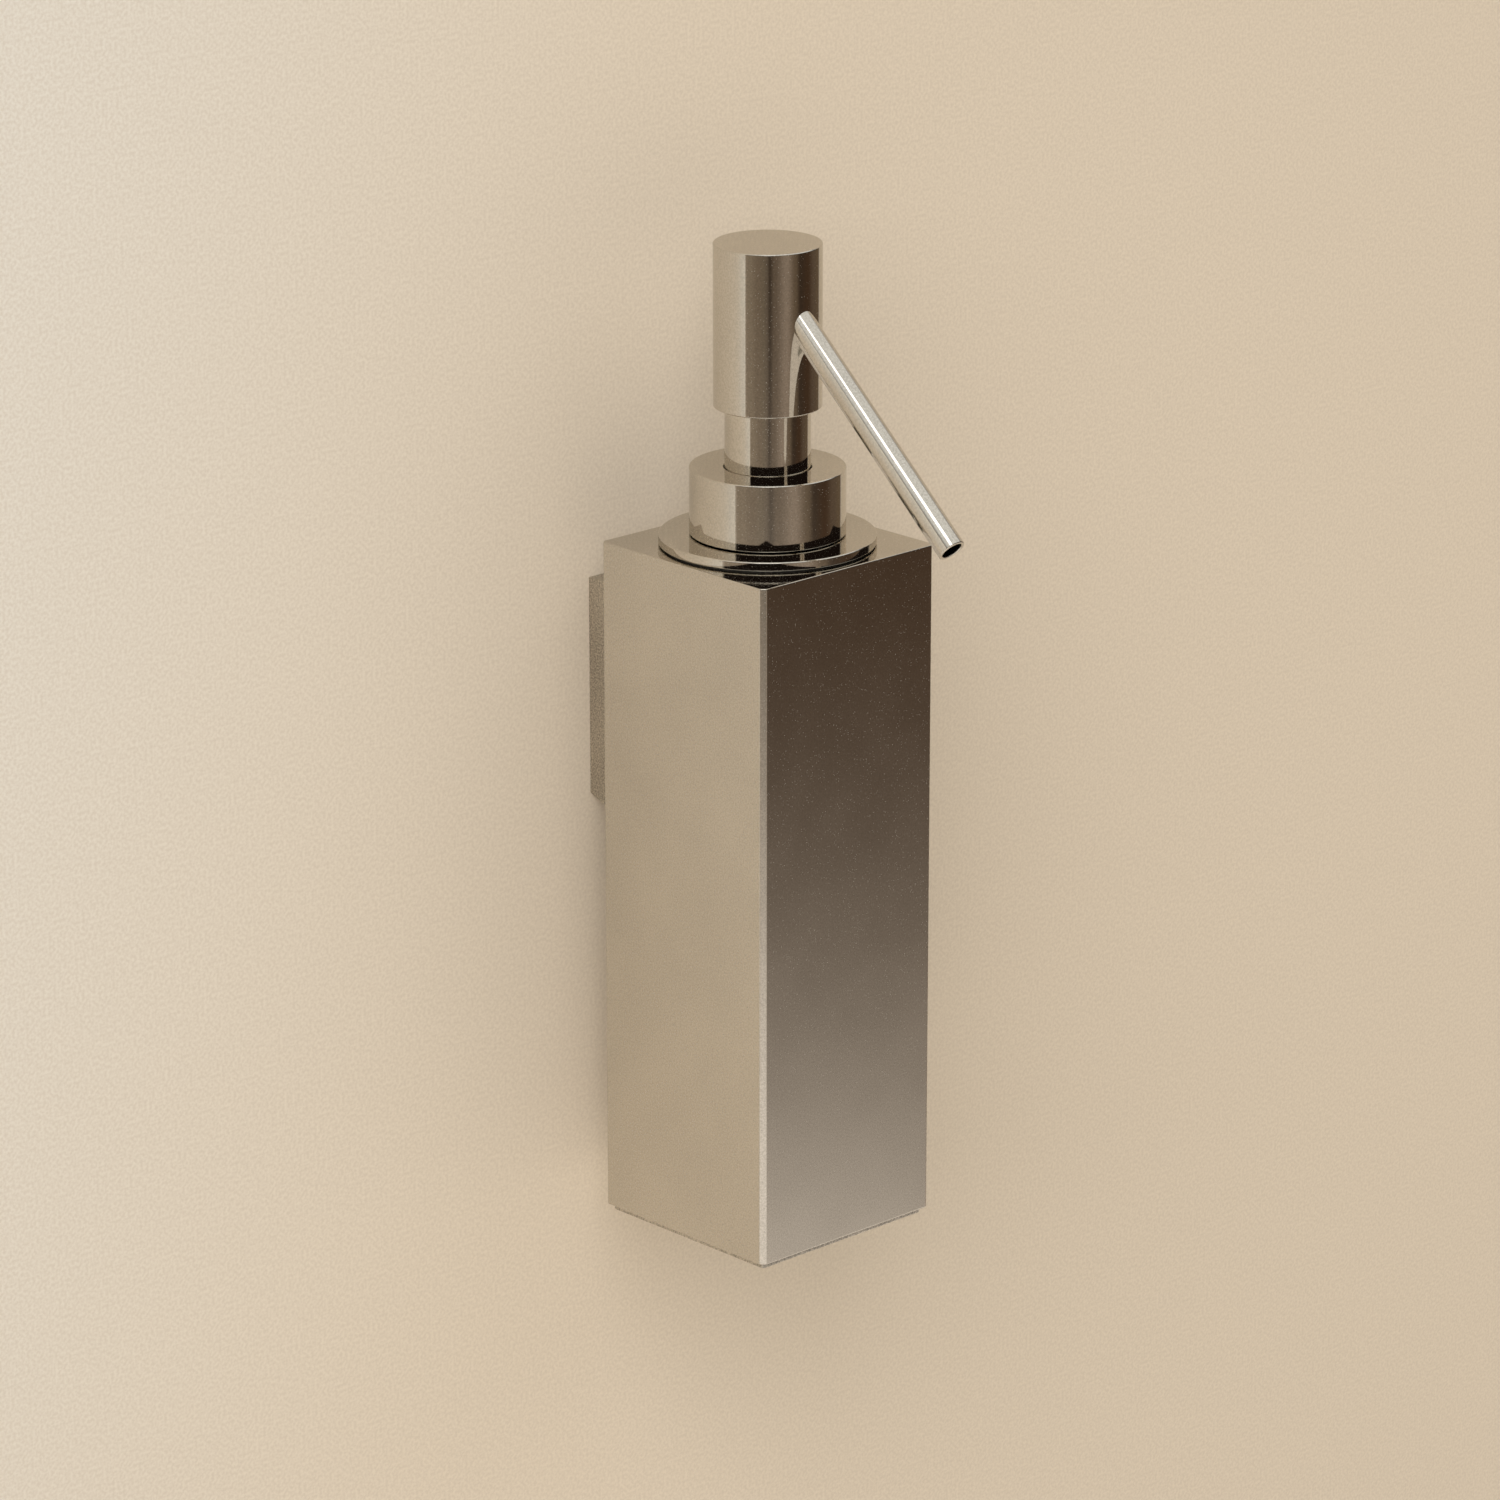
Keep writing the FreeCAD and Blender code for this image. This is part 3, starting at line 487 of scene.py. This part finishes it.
spout_shape = with_arcs(outline_of("spout_tube", SPOUT_ROOT, SPOUT_DIRECTION), SHARP_EDGE)
spout = turned("spout_polished", spout_shape, SPOUT_ROOT, SPOUT_DIRECTION)
settle(spout, "head", "polished_nickel", polished, "spout_tube")


THREAD_PITCH = 4.0 * MM
THREAD_TURNS = 1.6
THREAD_HEIGHT = 1.2 * MM
THREAD_WIDTH = 2.2 * MM
THREAD_START = 3.0 * MM  # first turn's middle above the shoulder
THREAD_FADE = 0.35  # share of a turn in which each end of the thread rises
THREAD_FLANK = 1.8  # how soon the crest is reached; 1 is a plain ridge
NECK_ROW = 0.35 * MM
WITHIN_NECK_WALL = 12 * MM  # a radius between the neck's bore and its outside


def make_bottle():
    """The bottle's own outline, with its neck's plain rings replaced by one helical thread."""
    outline = outline_of("bottle")
    lip = max(p.y for p in outline)
    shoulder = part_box("flange_ring")[0].z
    neck = min(p.x for p in outline if shoulder - NEAR < p.y < lip and p.x > WITHIN_NECK_WALL)
    plain = []
    for point in outline:
        is_thread = shoulder + NEAR < point.y < lip - NEAR and point.x > neck - NEAR
        if not is_thread:
            plain.append(point)
    rounded = with_arcs(plain, SOFT_EDGE)
    rows = []
    for k, point in enumerate(rounded):
        rows.append(point)
        after = rounded[(k + 1) % len(rounded)]
        if abs(point.x - neck) < NEAR and abs(after.x - neck) < NEAR:
            count = int((after - point).length / NECK_ROW)
            rows += [point.lerp(after, step / count) for step in range(1, count)]

    def swell(radius, height, angle):
        if abs(radius - neck) > NEAR:
            return 0
        best = 0
        for turn in range(math.ceil(THREAD_TURNS)):
            along = turn + angle / (2 * math.pi)
            if along > THREAD_TURNS:
                continue
            middle = shoulder + THREAD_START + along * THREAD_PITCH
            shape = 1 - abs(height - middle) / (THREAD_WIDTH / 2)
            ends = min(along, THREAD_TURNS - along) / THREAD_FADE
            best = max(best, min(1, THREAD_FLANK * shape) * min(1, ends))
        return THREAD_HEIGHT * best

    return turned("soap_bottle", rows, swell=swell)


settle(make_bottle(), "bottle_insert", "bottle_plastic", bottle_plastic, "bottle")


BALL_STEPS = 24  # from pole to pole


def make_ball(name, node):
    low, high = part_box(node)
    middle = (low + high) / 2
    radius = (high.z - low.z) / 2
    angles = [math.pi * k / BALL_STEPS - math.pi / 2 for k in range(BALL_STEPS + 1)]
    half_round = [Vector((radius * math.cos(a), radius * math.sin(a))) for a in angles]
    half_round[0].x = half_round[-1].x = 0
    return turned(name, half_round, foot=middle, segments=2 * BALL_STEPS)


for side in ("inlet", "outlet"):
    ball = make_ball(f"{side}_valve_ball", f"{side}_ball")
    settle(ball, f"{side}_valve", "fastener_steel", fastener_steel, f"{side}_ball")


# Return spring

SPRING_TURNS = 9
CLOSED_TURNS = 1.0  # at each end, wire on wire
WIRE_RADIUS = 0.45 * MM
SPRING_STEPS = 40  # along each turn
WIRE_SEGMENTS = 12


def make_spring():
    """A round wire wound upwards, its first and last turns lying on their neighbours."""
    low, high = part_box("return_spring")
    coil = (high.x - low.x) / 2 - WIRE_RADIUS
    start = low.z + WIRE_RADIUS
    length = high.z - low.z - 2 * WIRE_RADIUS
    closed_rise = 2 * WIRE_RADIUS * CLOSED_TURNS
    open_turns = SPRING_TURNS - 2 * CLOSED_TURNS
    work = bmesh.new()
    loops = []
    for step in range(SPRING_TURNS * SPRING_STEPS + 1):
        turns = step / SPRING_STEPS
        inner = min(max(turns - CLOSED_TURNS, 0), open_turns)
        rise = 2 * WIRE_RADIUS * (turns - inner)
        rise += inner * (length - 2 * closed_rise) / open_turns
        angle = 2 * math.pi * turns
        out = Vector((math.cos(angle), math.sin(angle), 0))
        middle = PUMP_AXIS + out * coil + UP * (start + rise)
        loops.append([
            work.verts.new(middle + WIRE_RADIUS * (out * math.cos(a) + UP * math.sin(a)))
            for a in (2 * math.pi * k / WIRE_SEGMENTS for k in range(WIRE_SEGMENTS))
        ])
    skin(work, loops, closed=False)
    work.faces.new(loops[0])
    work.faces.new(reversed(loops[-1]))
    return new_object("coil_spring", work)


spring = settle(make_spring(), "pump_unit", "fastener_steel", fastener_steel, "return_spring")
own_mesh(spring)


# CAD nodes that stay: their edges are broken and they get their finish


BLOCK_EDGE = 0.25 * MM
PLATE_EDGE = 0.15 * MM
SMALL_EDGE = 0.08 * MM
FLAT_WITHIN = math.radians(1)


def finish_node(node, material, edge):
    """Joins the CAD mesh along its edges, clears its flat faces of extra edges, breaks its sharp ones."""
    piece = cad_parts[node]
    piece.data.materials.clear()
    piece.data.materials.append(material)
    weld = piece.modifiers.new("weld", "WELD")
    weld.merge_threshold = NEAR
    clear = piece.modifiers.new("clear", "DECIMATE")
    clear.decimate_type = "DISSOLVE"
    clear.angle_limit = FLAT_WITHIN
    bevel = piece.modifiers.new("edges", "BEVEL")
    bevel.width = edge
    bevel.segments = 3
    bevel.limit_method = "ANGLE"
    bevel.angle_limit = LEAST_TURN
    bevel.use_clamp_overlap = True
    bevel.harden_normals = False
    even_shading(piece)


for node, material, edge in (
    ("mount_block", brushed, BLOCK_EDGE),
    ("base_plate", brushed, BLOCK_EDGE),
    ("wall_plate", bracket_steel, PLATE_EDGE),
    ("backing_plate", bracket_steel, PLATE_EDGE),
    ("block_screws", fastener_steel, SMALL_EDGE),
    ("locking_screw", fastener_steel, SMALL_EDGE),
    ("actuator_core", pump_plastic, SMALL_EDGE),
):
    finish_node(node, material, edge)


# Camera

CAMERA_LENS = 156.0
CAMERA_TURN = math.radians(43.41)  # from straight at the wall towards its -X side
CAMERA_PITCH = math.radians(17.87)
CAMERA_DISTANCE = 1.3815
CAMERA_AIM = PUMP_AXIS + Vector((-5.1, 0, -6.8)) * MM


def make_camera():
    data = bpy.data.cameras.new("camera")
    data.lens = CAMERA_LENS
    data.sensor_width = 36.0
    data.clip_start = 0.05
    data.clip_end = 50.0
    camera = bpy.data.objects.new("camera", data)
    camera.rotation_euler = Euler((math.pi / 2 - CAMERA_PITCH, 0, -CAMERA_TURN))
    back = camera.rotation_euler.to_matrix() @ UP
    camera.location = CAMERA_AIM + back * CAMERA_DISTANCE
    bpy.context.scene.collection.objects.link(camera)
    bpy.context.scene.camera = camera


make_camera()


# Stage: wall, floor, lights and surroundings

FLOOR_DEPTH = 0.6
FLOOR_SIZE = 12.0
FLOOR_OUT = 3.0  # the floor's middle, out from the wall
WALL_SIZE = 2.6
SHEET_DIVISIONS = 8
WALL_FRONT = -0.2 * MM  # the block's back stands this far into the wall, so the two never share a plane
# painted light on the wall: a darker shaded colour to the right and a paler lit one to the left
WALL_SHADED_RIGHT = (0.745, 0.66, 0.55)
WALL_LIT_LEFT = (0.755, 0.745, 0.715)
WALL_PAINTED_LIGHT_SPAN = (-0.02, 0.30)  # where the painted light starts to make the wall pale and makes it fully so, to the left
ROLLER_COLOUR = (0.5, 0.42, 0.34)
ROLLER_SHARE = 0.34
FLOOR_COLOUR = (0.80, 0.74, 0.65)
FLOOR_CLOUD = (0.6, 0.55, 0.5)


def stage_sheet(name, size, place, material):
    """A flat grid facing its own +Z, part of the surroundings and not of the object."""
    work = bmesh.new()
    bmesh.ops.create_grid(
        work, x_segments=SHEET_DIVISIONS, y_segments=SHEET_DIVISIONS, size=size / 2
    )
    mesh = bpy.data.meshes.new(name)
    work.to_mesh(mesh)
    work.free()
    sheet = bpy.data.objects.new(name, mesh)
    sheet.matrix_world = place
    mesh.materials.append(material)
    bpy.context.scene.collection.objects.link(sheet)
    return sheet


def wall_paint():
    """Matt paint with painted light: paler towards the left and a little upwards, darker to the right, as
    the light falls; from behind it isn't there.
    """
    material, n = new_material("wall_paint")
    where = n.place()
    roller = n.noise(where, 1400.0, 4.0)
    axes = n.add("ShaderNodeSeparateXYZ", {"Vector": where}).outputs
    # painted light: the colour slides from the shaded right to the lit upper left
    painted_light_slant = n.math("MULTIPLY_ADD", axes["Y"], 0.25, n.math("MULTIPLY", axes["X"], -1.0))
    colour = n.mix(n.spread(painted_light_slant, *WALL_PAINTED_LIGHT_SPAN), WALL_SHADED_RIGHT, WALL_LIT_LEFT)
    shade = n.spread(roller, NOISE_LOW, NOISE_HIGH, 0.0, ROLLER_SHARE)
    colour = n.mix(shade, colour, ROLLER_COLOUR)
    paint = n.add("ShaderNodeBsdfPrincipled", {
        "Base Color": colour,
        "Roughness": 0.85,
        "Normal": n.bump(roller, 0.05, 0.2 * MM),
    })
    clear = n.add("ShaderNodeBsdfTransparent")
    behind = n.add("ShaderNodeNewGeometry").outputs["Backfacing"]
    either = n.add("ShaderNodeMixShader", {0: behind, 1: paint.outputs[0], 2: clear.outputs[0]})
    output = n.add("ShaderNodeOutputMaterial")
    n.tree.links.new(either.outputs[0], output.inputs["Surface"])
    return material


def floor_paint():
    """Matt and pale, with slow clouds."""
    material, n = new_material("floor_paint")
    cloud = n.noise(n.place(), 4.0, 3.0)
    n.surface({
        "Base Color": n.mix(n.math("MULTIPLY", cloud, 0.1), FLOOR_COLOUR, FLOOR_CLOUD),
        "Roughness": 0.8,
    })
    return material


upright = Matrix.Translation((0, WALL_FRONT, 0)) @ Matrix.Rotation(math.pi / 2, 4, "X")
stage_sheet("wall", WALL_SIZE, upright, wall_paint())
level = Matrix.Translation((0, -FLOOR_OUT, -FLOOR_DEPTH))
floor = stage_sheet("floor", FLOOR_SIZE, level, floor_paint())
floor.visible_glossy = False


LIGHT_COLOUR = (1, 0.97, 0.92)


def soft_light(name, power, size, azimuth, elevation, distance, mirrored):
    """A soft box aimed at the pump's axis; azimuth 0 is straight out of the wall, plus is towards +X."""
    data = bpy.data.lights.new(name, "AREA")
    data.shape = "RECTANGLE"
    data.size, data.size_y = size
    data.energy = power
    data.color = LIGHT_COLOUR
    light = bpy.data.objects.new(name, data)
    a, e = math.radians(azimuth), math.radians(elevation)
    back = Vector((math.sin(a) * math.cos(e), -math.cos(a) * math.cos(e), math.sin(e)))
    light.location = PUMP_AXIS + back * distance
    light.rotation_euler = back.to_track_quat("Z", "Y").to_euler()
    light.visible_glossy = mirrored
    bpy.context.scene.collection.objects.link(light)


WIDE = (3.6, 3.0)
soft_light("key", 132.0, WIDE, azimuth=-62, elevation=32, distance=3.5, mirrored=False)
soft_light("fill", 11.0, WIDE, azimuth=45, elevation=20, distance=3.5, mirrored=False)
soft_light("top", 1.7, (0.6, 0.4), azimuth=-43, elevation=57, distance=1.7, mirrored=True)


ROOM_BY_AZIMUTH = (  # degrees from the camera, positive to its right, and the room's colour there
    (-60, (0.38, 0.31, 0.235)),
    (-40, (0.27, 0.21, 0.148)),
    (-20, (0.195, 0.144, 0.098)),
    (-8, (0.17, 0.13, 0.088)),
    (-2, (0.135, 0.10, 0.07)),
    (4, (0.052, 0.034, 0.021)),
    (14, (0.14, 0.10, 0.068)),
    (40, (0.30, 0.229, 0.172)),
    (60, (0.15, 0.106, 0.068)),
    (72, (0.055, 0.035, 0.022)),
    (92, (0.068, 0.038, 0.021)),
    (112, (0.127, 0.087, 0.057)),
    (131, (0.155, 0.108, 0.066)),
)
FLOOR_FAR = (0.86, 0.71, 0.54)
FLOOR_NEAR = (1.0, 0.91, 0.81)
CEILING_LIGHT = (0.86, 0.84, 0.79)
SHADE = (0.015, 0.010, 0.008)
BACKDROP = (0.72, 0.65, 0.55)

# where one part of the room passes into the next, in degrees above the horizon
FLOOR_EDGE = (-14, -24)
FLOOR_LEAN = 3  # how much higher the floor's edge is towards the camera than to the sides
FLOOR_FALLOFF = 3.0
SHADE_EDGE = (-8, 6)
CEILING_EDGE = (22, 42)
BEHIND_WALL = (-0.02, 0.06)  # along +Y of a direction


def make_world():
    """The brown room that the metal reflects. The camera sees only a plain backdrop."""
    world = bpy.data.worlds.new("room")
    world.use_nodes = True
    bpy.context.scene.world = world
    n = Nodes(world.node_tree)
    way = n.add("ShaderNodeTexCoord").outputs["Generated"]
    axes = n.add("ShaderNodeSeparateXYZ", {"Vector": way}).outputs
    towards = (-math.sin(CAMERA_TURN), -math.cos(CAMERA_TURN), 0)
    rightwards = (math.cos(CAMERA_TURN), -math.sin(CAMERA_TURN), 0)
    azimuth = n.math("ARCTAN2", n.dot(way, rightwards), n.dot(way, towards))
    elevation = n.math("ARCSINE", axes["Z"])
    around = n.math("ADD", n.math("DIVIDE", azimuth, 2 * math.pi), 0.5)
    room = n.ramp(around, [(degrees / 360 + 0.5, colour) for degrees, colour in ROOM_BY_AZIMUTH])

    def rise(angle, edge, smooth=True):
        return n.spread(angle, *(math.radians(degrees) for degrees in edge), smooth=smooth)

    facing = n.math("COSINE", azimuth)
    lean = n.math("MULTIPLY_ADD", facing, -math.radians(FLOOR_LEAN), elevation)
    floor_share = rise(lean, FLOOR_EDGE, smooth=False)
    floor_colour = n.mix(floor_share, FLOOR_FAR, FLOOR_NEAR)
    colour = n.mix(rise(elevation, SHADE_EDGE), room, SHADE)
    colour = n.mix(rise(elevation, CEILING_EDGE), colour, CEILING_LIGHT)
    colour = n.mix(n.math("POWER", floor_share, FLOOR_FALLOFF), colour, floor_colour)
    colour = n.mix(n.spread(axes["Y"], *BEHIND_WALL), colour, BACKDROP)
    colour = n.mix(n.add("ShaderNodeLightPath").outputs["Is Camera Ray"], colour, BACKDROP)
    background = n.add("ShaderNodeBackground", {"Color": colour, "Strength": 1.0})
    output = n.add("ShaderNodeOutputWorld")
    n.tree.links.new(background.outputs[0], output.inputs["Surface"])


make_world()
bpy.context.scene.view_settings.view_transform = "Standard"
